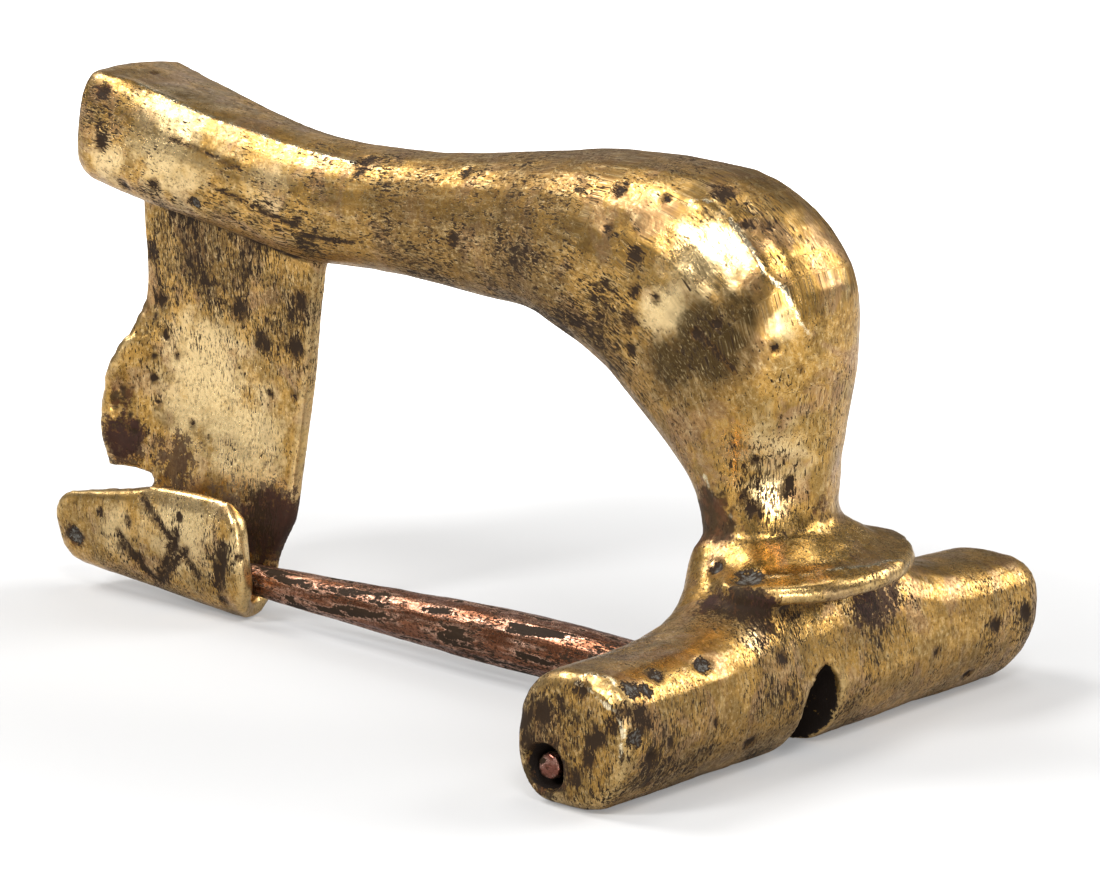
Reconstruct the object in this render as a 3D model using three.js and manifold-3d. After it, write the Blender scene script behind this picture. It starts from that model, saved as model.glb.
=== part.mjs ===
// A Roman knee brooch of cast copper alloy, standing on its crossbar and on its catch.
// Three pieces: the casting, which is bow, collar, crossbar and catch in one, the pin, and the rod that it
// turns on.
// Millimetres, +Z up. +X points from the foot to the crossbar, and -Y is the side that the catch opens to.
// While it is modelled, X = 0 is the crossbar's middle. The group then moves the origin under its middle.

import * as THREE from "three";
import { mergeVertices } from "three/addons/utils/BufferGeometryUtils.js";
import Module from "manifold-3d";

// Bow: overall reach and height, and its width at the places that give it its shape.
const BOW_REACH = 42; // from the crossbar's middle to the tip of the foot
const BOW_HEIGHT = 24.1; // top of the knee
const KNEE_WIDTH = 8.5;
const NECK_WIDTH = 6.2;
const WAIST_WIDTH = 5.3;
const FOOT_WIDTH = 6.8;
const FOOT_ROUNDING = 1.3; // how far the rounded end of the foot stands out
const FOOT_END_TURN = 80; // degrees that its rounding turns through, up to its flat end

// Crossbar, which is the hinge's housing.
const BAR_LENGTH = 29;
const BAR_OFFSET = -0.4; // of its middle from the bow's, along Y
const BAR_DEPTH = 6.1; // along X
const BAR_HEIGHT = 5.8;
const BAR_LEAN = 0.5; // how far its top stands out over its middle, along X
const BAR_FLAT = 0.25; // how much is worn flat under the bar
const NEAR_END_ROUNDING = 0.7;
const FAR_END_ROUNDING = 1.6;
const SADDLE_HEIGHT = 3.4; // rise from the bar's top into the neck

// Half-round collar above the crossbar.
const COLLAR_RADIUS = 6.3;
const COLLAR_CENTRE_X = -1.8;
const COLLAR_GAP = 1.1; // between the bar's top and the collar's underside, at the rim
const COLLAR_RIM = 0.9; // thickness of the rim
const COLLAR_HALF_ANGLE = 62; // degrees each way before it narrows
const COLLAR_END_ANGLE = 108; // degrees each way where it has died into the neck
const COLLAR_SLOPE = 1.9; // rise from the rim to the neck
const COLLAR_INNER_RADIUS = 2.4; // where it dies into the neck
const COLLAR_CORE_RADIUS = 1.8;
const COLLAR_TILT = 2.5; // degrees, up to the far side

// Hinge: a slot in the bar, and the rod through it.
const SLOT_WIDTH = 2.4;
const SLOT_CENTRE_Y = -2.1;
const SLOT_CLEARANCE = 0.45; // over the pin's eye, up to the slot's shoulders
const SLOT_SLOPE_DEGREES = 9; // of the slot's roof
const HINGE_X = -1.4;
const HINGE_Z = 1.55;
const ROD_DIAMETER = 1.3;
const ROD_CLEARANCE = 0.06; // between the rod and the bar's bore
const ROD_RECESS = 0.25; // how far its ends lie inside the end faces
const MOUTH_WIDENING = 0.36; // the bore's worn mouth, over the bore's own radius
const MOUTH_DEPTH = 1.4;

// Pin.
const PIN_DIAMETER = 2.75; // at its thickest
const PIN_POINT_DIAMETER = 0.7;
const PIN_INSET = 2.4; // from the tip of the foot to the pin's point
const PIN_EYE_WALL = 0.6;
const PIN_EYE_CLEARANCE = 0.08; // between the rod and the eye
const PIN_SIDE_CLEARANCE = 0.32; // between the eye and each wall of the slot

// Catch: a sheet under the foot, with its lower edge rolled round the pin.
const SHEET_THICKNESS = 0.9;
const SHEET_EDGE = 0.5; // its thickness along its edges, which are worn
const CHANNEL_RISE = 1.0; // the channel's outer end stands this much higher than its inner end
const CHANNEL_CLEARANCE = 0.15; // round the pin, where it enters
const CHANNEL_FLAT = 0.06; // how much is worn flat under its inner end
const PLATE_WIDTH = 12.3; // at the top
const PLATE_TAPER = 2.8; // how far its inner edge runs outwards on its way down
const PLATE_INSET = 2.0; // from the foot's tip to the top of the plate's outer edge
const PLATE_WAVE = 0.5; // how far it is bowed to the back
const FLAP_LENGTH = 13;
const FLAP_HEIGHT = 6.2;
const FLAP_ARCH = 0.4; // how much lower its upper edge is at both ends
const FLAP_TILT = 0.6; // how much lower again at its outer end
const FLAP_BULGE = 0.2;
const FLAP_OUTER_CORNER = 3.2;
const FLAP_INNER_CORNER = 1.1;
const EAR_REACH = 2.4; // torn lobe on the plate's outer edge
const EAR_CURL = 1.5;
const NOTCH_WIDTH = 0.9; // tear between the lobe and the channel
const NOTCH_HEIGHT = 5.3;
const HEEL_INSET = 1.3; // how far the channel's inner end is cut back under the flap's

// Resolution of the faceted surfaces.
const BOW_STEPS = 52;
const FACE_STEPS = 6;
const SIDE_STEPS = 10;
const BAR_STEPS = 32;
const END_STEPS = 3;
const BAR_SIDES = 24;
const COLLAR_SIDES = 40;
const PLATE_ROWS = 18;
const CHANNEL_ROWS = 8;
const FLAP_ROWS = 6;
const SHEET_COLUMNS = 13;
const PIN_STEPS = 22;
const PIN_SIDES = 12;
const ROUND_SIDES = 24;
const CURVE_STEPS = 5;

const BRONZE = { color: 0xb08d4f, roughness: 0.38, metalness: 1.0 };
const COPPER = { color: 0x9a5f42, roughness: 0.45, metalness: 1.0 };

const wasm = await Module();
wasm.setup();

const { clamp, lerp, smoothstep, degToRad } = THREE.MathUtils;
const power = (base, exponent) => Math.sign(base) * Math.abs(base) ** exponent;

const boreRadius = ROD_DIAMETER / 2 + ROD_CLEARANCE;
const eyeRadius = ROD_DIAMETER / 2 + PIN_EYE_CLEARANCE + PIN_EYE_WALL;
const eyeWidth = SLOT_WIDTH - 2 * PIN_SIDE_CLEARANCE;

// A solid from a closed geometry.
function solid(geometry) {
  const bare = geometry.clone();
  for (const name of Object.keys(bare.attributes)) {
    if (name !== "position") bare.deleteAttribute(name);
  }
  const merged = mergeVertices(bare, 1e-4);
  const mesh = new wasm.Mesh({
    numProp: 3,
    vertProperties: merged.attributes.position.array,
    triVerts: new Uint32Array(merged.index.array),
  });
  return new wasm.Manifold(mesh);
}

function geometryOf(manifold) {
  const mesh = manifold.getMesh();
  const geometry = new THREE.BufferGeometry();
  geometry.setAttribute("position", new THREE.BufferAttribute(mesh.vertProperties, 3));
  geometry.setIndex(new THREE.BufferAttribute(mesh.triVerts, 1));
  geometry.computeVertexNormals();
  return geometry;
}

// Closed surface through a row of rings, each with as many points, with a fan over both ends.
function loft(rings) {
  const count = rings[0].length;
  const points = rings.flat();
  const faces = [];
  for (let i = 0; i + 1 < rings.length; i++) {
    for (let j = 0; j < count; j++) {
      const a = i * count + j;
      const b = i * count + ((j + 1) % count);
      faces.push(a, b, b + count, a, b + count, a + count);
    }
  }
  const middle = (ring) => ring.reduce((sum, p) => sum.add(p), new THREE.Vector3()).divideScalar(count);
  const first = points.push(middle(rings[0])) - 1;
  const last = points.push(middle(rings.at(-1))) - 1;
  const lastRing = (rings.length - 1) * count;
  for (let j = 0; j < count; j++) {
    const k = (j + 1) % count;
    faces.push(first, k, j, last, lastRing + j, lastRing + k);
  }
  const geometry = new THREE.BufferGeometry().setFromPoints(points);
  geometry.setIndex(faces);
  return geometry;
}

// Closed surface of a sheet, from equal grids of points on its two faces.
function sheetSurface(front, back) {
  const rows = front.length;
  const columns = front[0].length;
  const points = [...front.flat(), ...back.flat()];
  const onFront = (i, j) => i * columns + j;
  const onBack = (i, j) => (rows + i) * columns + j;
  const faces = [];
  const quad = (a, b, c, d) => faces.push(a, b, c, a, c, d);
  for (let i = 0; i + 1 < rows; i++) {
    for (let j = 0; j + 1 < columns; j++) {
      quad(onFront(i, j), onFront(i + 1, j), onFront(i + 1, j + 1), onFront(i, j + 1));
      quad(onBack(i, j), onBack(i, j + 1), onBack(i + 1, j + 1), onBack(i + 1, j));
    }
    const end = columns - 1;
    quad(onBack(i, 0), onBack(i + 1, 0), onFront(i + 1, 0), onFront(i, 0));
    quad(onFront(i, end), onFront(i + 1, end), onBack(i + 1, end), onBack(i, end));
  }
  for (let j = 0; j + 1 < columns; j++) {
    const end = rows - 1;
    quad(onFront(0, j), onFront(0, j + 1), onBack(0, j + 1), onBack(0, j));
    quad(onBack(end, j), onBack(end, j + 1), onFront(end, j + 1), onFront(end, j));
  }
  const geometry = new THREE.BufferGeometry().setFromPoints(points);
  geometry.setIndex(faces);
  return geometry;
}

function extrude(outline, depth) {
  return new THREE.ExtrudeGeometry(outline, { depth, bevelEnabled: false, curveSegments: CURVE_STEPS });
}

// A round bar along Y.
function roundBar(radius, length, x, y, z) {
  const geometry = new THREE.CylinderGeometry(radius, radius, length, ROUND_SIDES);
  return solid(geometry.translate(x, y, z));
}

// A value that runs smoothly through evenly spaced stations, read at a share of the way along them.
function profile(values) {
  const points = values.map((value, i) => new THREE.Vector3(i, value, 0));
  const curve = new THREE.CatmullRomCurve3(points, false, "catmullrom", 0.5);
  return (share) => curve.getPoint(clamp(share, 0, 1)).y;
}

// Bow. Each station is a cut across it: its outer and inner point, as shares of the reach and the height,
// and its width. Then its outer face between the two arrises, as a share of the width, and how far that face
// is crowned, as a share of the thickness. Last the squareness of its sides, where 2 is round.
const KNEE_START = lerp(WAIST_WIDTH, KNEE_WIDTH, 0.25);
const KNEE_RISE = lerp(WAIST_WIDTH, KNEE_WIDTH, 0.7);
const NECK_START = lerp(NECK_WIDTH, KNEE_WIDTH, 0.55);
const BOW_STATIONS = [
  [-0.956, 1.064, -0.98, 0.823, FOOT_WIDTH * 0.97, 0.8, 0.035, 3.2],
  [-0.865, 1.026, -0.885, 0.79, FOOT_WIDTH * 0.97, 0.64, 0.035, 3],
  [-0.76, 0.988, -0.778, 0.757, lerp(WAIST_WIDTH, FOOT_WIDTH, 0.4), 0.46, 0.03, 2.6],
  [-0.665, 0.962, -0.675, 0.722, WAIST_WIDTH, 0.42, 0.035, 2.3],
  [-0.566, 0.954, -0.571, 0.722, WAIST_WIDTH, 0.42, 0.04, 2.2],
  [-0.467, 0.96, -0.479, 0.712, WAIST_WIDTH, 0.44, 0.04, 2.2],
  [-0.36, 0.98, -0.4, 0.7, KNEE_START, 0.45, 0.04, 2.2],
  [-0.26, 0.998, -0.34, 0.694, KNEE_RISE, 0.46, 0.035, 2.2],
  [-0.166, 0.998, -0.286, 0.662, lerp(WAIST_WIDTH, KNEE_WIDTH, 0.95), 0.46, 0.03, 2.2],
  [-0.077, 0.984, -0.235, 0.618, KNEE_WIDTH, 0.44, 0.03, 2.2],
  [-0.005, 0.919, -0.186, 0.55, KNEE_WIDTH, 0.44, 0.028, 2.2],
  [0.037, 0.819, -0.149, 0.492, lerp(NECK_WIDTH, KNEE_WIDTH, 0.85), 0.46, 0.03, 2.2],
  [0.041, 0.692, -0.125, 0.446, NECK_START, 0.5, 0.045, 2.15],
  [0.034, 0.575, -0.112, 0.406, lerp(NECK_WIDTH, KNEE_WIDTH, 0.2), 0.58, 0.08, 2.1],
  [0.028, 0.46, -0.109, 0.372, NECK_WIDTH, 0.66, 0.12, 2.0],
  [0.024, 0.36, -0.096, 0.32, NECK_WIDTH, 0.68, 0.13, 2.0],
  [0.024, 0.26, -0.086, 0.25, NECK_WIDTH, 0.68, 0.13, 2.0],
  [0.024, 0.15, -0.075, 0.15, NECK_WIDTH * 0.8, 0.68, 0.13, 2.0],
];
const bowProfiles = BOW_STATIONS[0].map((_, column) => profile(BOW_STATIONS.map((row) => row[column])));

// Ring of the bow's surface at a share of the way from foot to neck. At the bow's end it is shrunk and moved.
function bowRing(share, scale = 1, shift = 0) {
  const [outerX, outerZ, innerX, innerZ, width, face, crown, squareness] = bowProfiles.map((p) => p(share));
  const outer = new THREE.Vector3(outerX * BOW_REACH, 0, outerZ * BOW_HEIGHT);
  const inner = new THREE.Vector3(innerX * BOW_REACH, 0, innerZ * BOW_HEIGHT);
  const middle = outer.clone().add(inner).divideScalar(2);
  const outwards = outer.clone().sub(inner).normalize();
  const sideways = new THREE.Vector3(0, 1, 0);
  const along = sideways.clone().cross(outwards);
  const place = ([across, out]) =>
    middle
      .clone()
      .addScaledVector(outwards, out * scale)
      .addScaledVector(sideways, across * scale)
      .addScaledVector(along, shift);
  return bowSection(width / 2, outer.distanceTo(inner) / 2, face, crown, squareness).map(place);
}

// Section as [sideways, outwards] points: a crowned outer face between two arrises, and swelling sides.
function bowSection(halfWidth, half, face, crown, squareness) {
  const bend = 2 / squareness;
  const arris = half * (1 - 2 * crown);
  const arrisTurn = Math.acos(face ** (1 / bend));
  const rise = arris / Math.sin(arrisTurn) ** bend;
  const section = [];
  for (let i = 0; i < FACE_STEPS; i++) {
    const across = lerp(1, -1, i / FACE_STEPS);
    section.push([halfWidth * face * across, half - (half - arris) * across ** 2]);
  }
  const turnAround = Math.PI + 2 * arrisTurn;
  for (let i = 0; i < 2 * SIDE_STEPS; i++) {
    const turn = Math.PI - arrisTurn + (i / (2 * SIDE_STEPS)) * turnAround;
    const up = Math.sin(turn);
    section.push([halfWidth * power(Math.cos(turn), bend), power(up, bend) * (up > 0 ? rise : half)]);
  }
  return section;
}

function makeBow() {
  const rings = [];
  for (let i = END_STEPS; i > 0; i--) {
    const turn = (i / END_STEPS) * degToRad(FOOT_END_TURN);
    rings.push(bowRing(0, Math.cos(turn) ** 0.4, -FOOT_ROUNDING * Math.sin(turn)));
  }
  for (let i = 0; i <= BOW_STEPS; i++) {
    rings.push(bowRing(i / BOW_STEPS));
  }
  return solid(loft(rings));
}

// Ring round the crossbar. Its top rises in the middle, as a saddle that leans inwards and meets the neck.
function barRing(fromMiddle, inset) {
  const y = fromMiddle + BAR_OFFSET;
  const beyondNeck = Math.max(0, Math.abs(y) - NECK_WIDTH / 2);
  const saddle = Math.exp((-3 * beyondNeck) / NECK_WIDTH);
  const middleZ = BAR_HEIGHT / 2;
  const above = middleZ + SADDLE_HEIGHT * saddle - inset;
  const below = middleZ + BAR_FLAT - inset;
  const ring = [];
  for (let i = 0; i < BAR_SIDES; i++) {
    const turn = (i / BAR_SIDES) * 2 * Math.PI;
    const up = Math.sin(turn);
    const bend = up > 0 ? 0.74 : 0.95;
    const lean = saddle * Math.max(0, up);
    const shift = BAR_LEAN * up + (COLLAR_CENTRE_X - BAR_LEAN) * lean;
    const x = (BAR_DEPTH / 2 - inset) * power(Math.cos(turn), bend) + shift;
    const z = middleZ + power(up, bend) * (up > 0 ? above : below);
    ring.push(new THREE.Vector3(x, y, Math.max(z, inset)));
  }
  return ring;
}

function makeBar() {
  const half = BAR_LENGTH / 2;
  const rings = [];
  for (let i = 0; i <= BAR_STEPS; i++) {
    rings.push(barRing(lerp(half - FAR_END_ROUNDING, -half + NEAR_END_ROUNDING, i / BAR_STEPS), 0));
  }
  for (let i = 1; i <= END_STEPS; i++) {
    const turn = (i / END_STEPS) * (Math.PI / 2);
    const out = 1 - Math.sin(turn);
    const inset = 1 - Math.cos(turn);
    rings.unshift(barRing(half - FAR_END_ROUNDING * out, FAR_END_ROUNDING * inset));
    rings.push(barRing(-half + NEAR_END_ROUNDING * out, NEAR_END_ROUNDING * inset));
  }
  return solid(loft(rings));
}

// Collar: a half-moon on the outer side, which dies into the neck on the inner side.
function makeCollar() {
  const underside = BAR_HEIGHT + COLLAR_GAP;
  const top = underside + COLLAR_RIM;
  const fadeStart = degToRad(COLLAR_HALF_ANGLE);
  const fadeEnd = degToRad(COLLAR_END_ANGLE);
  const levels = [
    // share of the way out from the core to the rim, height
    [0, underside + COLLAR_RIM],
    [0.94, underside],
    [1, underside + COLLAR_RIM / 2],
    [0.95, top],
    [0.62, top + COLLAR_SLOPE * 0.22],
    [0.4, top + COLLAR_SLOPE * 0.55],
    [0, top + COLLAR_SLOPE],
  ];
  const rings = levels.map(([share, z]) => {
    const ring = [];
    for (let i = 0; i < COLLAR_SIDES; i++) {
      const turn = (i / COLLAR_SIDES) * 2 * Math.PI - Math.PI;
      const fade = smoothstep(Math.abs(turn), fadeStart, fadeEnd);
      const rim = lerp(COLLAR_RADIUS, COLLAR_INNER_RADIUS, fade);
      const radius = lerp(COLLAR_CORE_RADIUS, rim, share);
      const x = COLLAR_CENTRE_X + radius * Math.cos(turn);
      const y = radius * Math.sin(turn);
      ring.push(new THREE.Vector3(x, y, z + y * Math.tan(degToRad(COLLAR_TILT))));
    }
    return ring;
  });
  return solid(loft(rings));
}

// Where the catch lies, and the pin in it. The pin swells outside the bar, then tapers to its point.
const plateOuterX = PLATE_INSET - BOW_REACH;
const plateInnerX = plateOuterX + PLATE_WIDTH;
const flapInnerX = plateInnerX - PLATE_TAPER;
const flapOuterX = flapInnerX - FLAP_LENGTH;
const pinPointX = PIN_INSET - BOW_REACH;
const pinLength = HINGE_X - pinPointX;
const pinSwell = profile([0.84, 0.93, 1, 1, 0.88, 0.75, 0.62, 0.45, PIN_POINT_DIAMETER / PIN_DIAMETER]);
const seatShare = (HINGE_X - flapInnerX) / pinLength;
const pinInCatch = PIN_DIAMETER * pinSwell(seatShare);
const channelRadius = (pinInCatch + SHEET_THICKNESS) / 2 + CHANNEL_CLEARANCE;

// Catch: a sheet that hangs from the foot, turns under the pin and comes up again as the flap. A point of its
// middle surface is read at a share of the way from its outer to its inner edge, and at a row, counted down
// the plate, round the channel and up the flap.
const earOutline = profile([0, 0, 0.03, 0.12, 0.5, 0.95, 1, 1, 1]);

// Height of the channel's axis, which rises from its inner end, where it stands on a worn flat.
function channelAxis(across) {
  return channelRadius + SHEET_THICKNESS / 2 + CHANNEL_RISE * (1 - across) - CHANNEL_FLAT;
}

function sheetPoint(across, row) {
  const down = Math.min(row / PLATE_ROWS, 1);
  const turn = clamp((row - PLATE_ROWS) / CHANNEL_ROWS, 0, 1) * Math.PI;
  const up = Math.max(0, (row - PLATE_ROWS - CHANNEL_ROWS) / FLAP_ROWS);
  const axis = channelAxis(across);
  const plateTop = BOW_HEIGHT * lerp(0.9, 0.78, across);
  const flapTop = FLAP_HEIGHT - FLAP_ARCH * (2 * across - 1) ** 2 - FLAP_TILT * (1 - across);
  const corner = 1 - Math.sqrt(1 - Math.min(up, 1) ** 4);
  const outer =
    lerp(plateOuterX - EAR_REACH * earOutline(down), flapOuterX, turn / Math.PI) + FLAP_OUTER_CORNER * corner;
  const heel = smoothstep(down, 0.8, 1) * (1 + Math.cos(turn)) * 0.5 + Math.sin(turn) * 0.3;
  const taper = PLATE_TAPER * Math.sin((down * Math.PI) / 2);
  const inner = plateInnerX - taper - HEEL_INSET * heel - FLAP_INNER_CORNER * corner;
  const x = lerp(outer, inner, across);
  const fromEdge = Math.max(0, 1 - (x - outer) / EAR_REACH);
  const curl = EAR_CURL * fromEdge ** 2 * smoothstep(down, 0.38, 0.56) * (1 - smoothstep(down, 0.74, 0.92));
  const wave = PLATE_WAVE * Math.sin(Math.PI * down) ** 2;
  const y = wave - curl - channelRadius * (1 - Math.cos(turn)) - FLAP_BULGE * Math.sin(Math.PI * up);
  const z = lerp(lerp(plateTop, axis, down), flapTop, up) - channelRadius * Math.sin(turn);
  return new THREE.Vector3(x, y, z);
}

function makeCatch() {
  const front = [];
  const back = [];
  const lastRow = PLATE_ROWS + CHANNEL_ROWS + FLAP_ROWS;
  const step = 0.01;
  for (let row = 0; row <= lastRow; row++) {
    const frontRow = [];
    const backRow = [];
    for (let column = 0; column <= SHEET_COLUMNS; column++) {
      const across = 0.5 - 0.5 * Math.cos((Math.PI * column) / SHEET_COLUMNS);
      const point = sheetPoint(across, row);
      const alongX = sheetPoint(across + step, row).sub(sheetPoint(across - step, row));
      const alongRows = sheetPoint(across, row + step).sub(sheetPoint(across, row - step));
      const normal = alongX.cross(alongRows).normalize();
      const onEdge = column === 0 || column === SHEET_COLUMNS || row === lastRow;
      const half = (onEdge ? SHEET_EDGE : SHEET_THICKNESS) / 2;
      frontRow.push(point.clone().addScaledVector(normal, -half));
      backRow.push(point.clone().addScaledVector(normal, half));
    }
    front.push(frontRow);
    back.push(backRow);
  }
  for (const point of [...front.flat(), ...back.flat()]) {
    point.z = Math.max(point.z, 0);
  }
  return solid(sheetSurface(front, back));
}

// Tear between the lobe and the channel, cut through the plate and clear of the flap.
function notchCutter() {
  const outline = new THREE.Shape();
  const depth = EAR_REACH + FLAP_LENGTH / 4;
  outline.moveTo(-depth, NOTCH_WIDTH);
  outline.lineTo(0, NOTCH_WIDTH * 0.35);
  outline.quadraticCurveTo(NOTCH_WIDTH * 0.4, 0, 0, -NOTCH_WIDTH * 0.4);
  outline.lineTo(-depth * 0.35, -NOTCH_WIDTH * 0.9);
  outline.lineTo(-depth, -NOTCH_WIDTH * 1.6);
  const reach = 2 * channelRadius - SHEET_THICKNESS * 0.7;
  const geometry = extrude(outline, 2 * reach);
  geometry.rotateX(Math.PI / 2);
  return solid(geometry.translate(plateOuterX, reach, NOTCH_HEIGHT));
}

// Slot for the pin's head: a pointed arch, ragged to one side, whose roof slopes up to the inner side, where
// the pin swings. It is open at the underside of the bar.
function slotCutter() {
  const half = SLOT_WIDTH / 2;
  const shoulder = HINGE_Z + eyeRadius + SLOT_CLEARANCE;
  const outline = new THREE.Shape();
  outline.moveTo(-half, -BAR_HEIGHT);
  outline.lineTo(-half, shoulder - half / 4);
  outline.quadraticCurveTo(-half, shoulder + half / 4, half / 3, shoulder + half * 0.75);
  outline.quadraticCurveTo(half, shoulder + half / 3, half, shoulder - half / 2);
  outline.lineTo(half, -BAR_HEIGHT);
  const geometry = extrude(outline, 3 * BAR_DEPTH);
  geometry.translate(0, 0, -1.5 * BAR_DEPTH);
  geometry.rotateX(Math.PI / 2).rotateZ(Math.PI / 2);
  geometry.rotateY(degToRad(SLOT_SLOPE_DEGREES));
  return solid(geometry.translate(0, SLOT_CENTRE_Y, 0));
}

// The bore's mouth, worn wide at an end of the bar.
function mouthCutter(end) {
  const wide = boreRadius + MOUTH_WIDENING;
  const outside = end > 0 ? [wide, boreRadius] : [boreRadius, wide];
  const geometry = new THREE.CylinderGeometry(...outside, MOUTH_DEPTH, ROUND_SIDES);
  return solid(geometry.translate(HINGE_X, BAR_OFFSET + (end * (BAR_LENGTH - MOUTH_DEPTH)) / 2, HINGE_Z));
}

function makeCasting() {
  return makeBow()
    .add(makeBar())
    .add(makeCollar())
    .add(makeCatch())
    .subtract(notchCutter())
    .subtract(slotCutter())
    .subtract(roundBar(boreRadius, 2 * BAR_LENGTH, HINGE_X, 0, HINGE_Z))
    .subtract(mouthCutter(1))
    .subtract(mouthCutter(-1));
}

// Pin: an eye between the walls of the slot, and a shank that is flat there and round in the channel.
function makePin() {
  const seat = SHEET_THICKNESS + CHANNEL_CLEARANCE + pinInCatch / 2;
  const middleZ = profile([HINGE_Z, seat, seat, seat, seat + CHANNEL_CLEARANCE]);
  const rings = [];
  for (let i = 0; i <= PIN_STEPS; i++) {
    const share = lerp((eyeRadius * 0.6) / pinLength, 1, i / PIN_STEPS);
    const height = PIN_DIAMETER * pinSwell(share);
    const round = smoothstep(share * pinLength, BAR_DEPTH * 0.45, BAR_DEPTH * 1.1);
    const width = lerp(eyeWidth, height, round);
    const y = lerp(SLOT_CENTRE_Y, -channelRadius, Math.min(share / seatShare, 1));
    rings.push(ellipse(HINGE_X - share * pinLength, y, middleZ(share), width / 2, height / 2));
  }
  const tip = PIN_POINT_DIAMETER / 4;
  rings.push(ellipse(pinPointX - tip, -channelRadius, seat + CHANNEL_CLEARANCE, tip, tip));
  const eye = roundBar(eyeRadius, eyeWidth, HINGE_X, SLOT_CENTRE_Y, HINGE_Z);
  const hole = roundBar(ROD_DIAMETER / 2 + PIN_EYE_CLEARANCE, 2 * eyeWidth, HINGE_X, SLOT_CENTRE_Y, HINGE_Z);
  return solid(loft(rings)).add(eye).subtract(hole);
}

// Ring of points across X.
function ellipse(x, y, z, halfWidth, halfHeight) {
  const ring = [];
  for (let i = 0; i < PIN_SIDES; i++) {
    const turn = (i / PIN_SIDES) * 2 * Math.PI;
    ring.push(new THREE.Vector3(x, y - halfWidth * Math.cos(turn), z + halfHeight * Math.sin(turn)));
  }
  return ring;
}

function makeRod() {
  return roundBar(ROD_DIAMETER / 2, BAR_LENGTH - 2 * ROD_RECESS, HINGE_X, BAR_OFFSET, HINGE_Z);
}

const brooch = new THREE.Group();
const pieces = [
  ["bow_casting", makeCasting(), BRONZE],
  ["pin", makePin(), COPPER],
  ["hinge_rod", makeRod(), COPPER],
];
for (const [name, manifold, finish] of pieces) {
  const mesh = new THREE.Mesh(geometryOf(manifold), new THREE.MeshStandardMaterial(finish));
  mesh.name = name;
  brooch.add(mesh);
}

// Origin under the middle of the whole brooch, on the surface that it stands on.
const extent = new THREE.Box3().setFromObject(brooch);
const middle = extent.getCenter(new THREE.Vector3());
brooch.position.set(-middle.x, -middle.y, -extent.min.z);

export default brooch;
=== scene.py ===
import math

import bpy
import numpy as np
from mathutils import Matrix, Vector, noise
from mathutils.bvhtree import BVHTree


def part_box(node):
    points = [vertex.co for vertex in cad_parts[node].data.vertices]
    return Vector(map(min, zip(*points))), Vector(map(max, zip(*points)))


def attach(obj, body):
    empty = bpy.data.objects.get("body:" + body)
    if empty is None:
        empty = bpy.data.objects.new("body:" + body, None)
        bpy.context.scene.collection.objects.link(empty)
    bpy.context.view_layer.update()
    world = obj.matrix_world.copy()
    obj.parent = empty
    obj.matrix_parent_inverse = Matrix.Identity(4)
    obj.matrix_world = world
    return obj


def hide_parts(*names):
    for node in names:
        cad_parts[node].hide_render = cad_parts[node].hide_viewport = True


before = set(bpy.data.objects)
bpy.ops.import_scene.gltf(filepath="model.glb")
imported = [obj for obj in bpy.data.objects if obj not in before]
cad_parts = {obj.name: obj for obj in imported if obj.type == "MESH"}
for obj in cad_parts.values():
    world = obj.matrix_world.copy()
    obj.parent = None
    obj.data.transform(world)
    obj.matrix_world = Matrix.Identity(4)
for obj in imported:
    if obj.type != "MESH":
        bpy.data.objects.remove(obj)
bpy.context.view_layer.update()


# The casting: bow, collar, crossbar and catch in one piece of golden bronze.
# It was cast, then filed and hammered smooth, so it keeps small casting pits, file marks and dents.
# Its catch was hammered out of the foot into a sheet, whose lower edge is rolled up round the pin.
MM = 0.001
CAST_GRAIN = 0.19 * MM  # spacing of the points of its mesh
CAST_SOFTENING = 2
BOW_TOP = [  # the bow's outer face from the tip of the foot to the crossbar, as X and Z
    (-22.1, 25.6), (-16.8, 24.7), (-12.4, 23.8), (-8.4, 23.2), (-4.3, 23.0), (-0.1, 23.1), (4.4, 23.6),
    (8.6, 24.1), (12.5, 24.1), (16.1, 23.4), (19.0, 21.9), (20.7, 19.6), (21.1, 16.6), (20.9, 13.9),
    (20.7, 11.1), (20.5, 8.7), (20.5, 6.3), (20.5, 3.0), (20.5, 0.0),
]
BOW_UNDER = [
    (-22.8, 20.1), (-17.7, 19.2), (-13.2, 18.2), (-8.9, 17.4), (-4.5, 17.4), (-0.6, 17.4), (2.7, 17.2),
    (5.2, 16.7), (7.5, 16.0), (9.6, 14.9), (11.7, 13.3), (13.2, 11.9), (14.3, 10.7), (14.8, 9.8),
    (14.9, 9.0), (15.2, 7.7), (15.3, 6.0), (15.3, 3.0), (15.3, 0.0),
]

# The photo shows where the marks lie. Each is given by its pixel there, across and down from
# the top left corner, and is found on the casting by looking along that pixel's line from the camera.
PHOTO_WIDTH = 1100
PHOTO_HEIGHT = 880
SENSOR_WIDTH = 36.0  # of the camera, in the same unit as its lens
CAMERA_TARGET = Vector((5.36, 0.4, 10.80)) * MM
CAMERA_AZIMUTH = math.radians(41.61)
CAMERA_ELEVATION = math.radians(12.01)
CAMERA_ROLL = math.radians(-0.27)
CAMERA_DISTANCE = 176.1 * MM
CAMERA_LENS = 130.15
FILLED_PITS = [  # casting pits with grey corrosion in them: across, down, radius, depth
    (716, 568, 0.32, 0.2), (748, 576, 0.6, 0.22), (704, 664, 0.4, 0.2), (632, 688, 0.42, 0.06),
    (656, 674, 0.32, 0.05), (648, 690, 0.3, 0.05), (636, 738, 0.4, 0.05), (76, 536, 0.42, 0.1),
    (195, 202, 0.3, 0.06),
]
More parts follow.
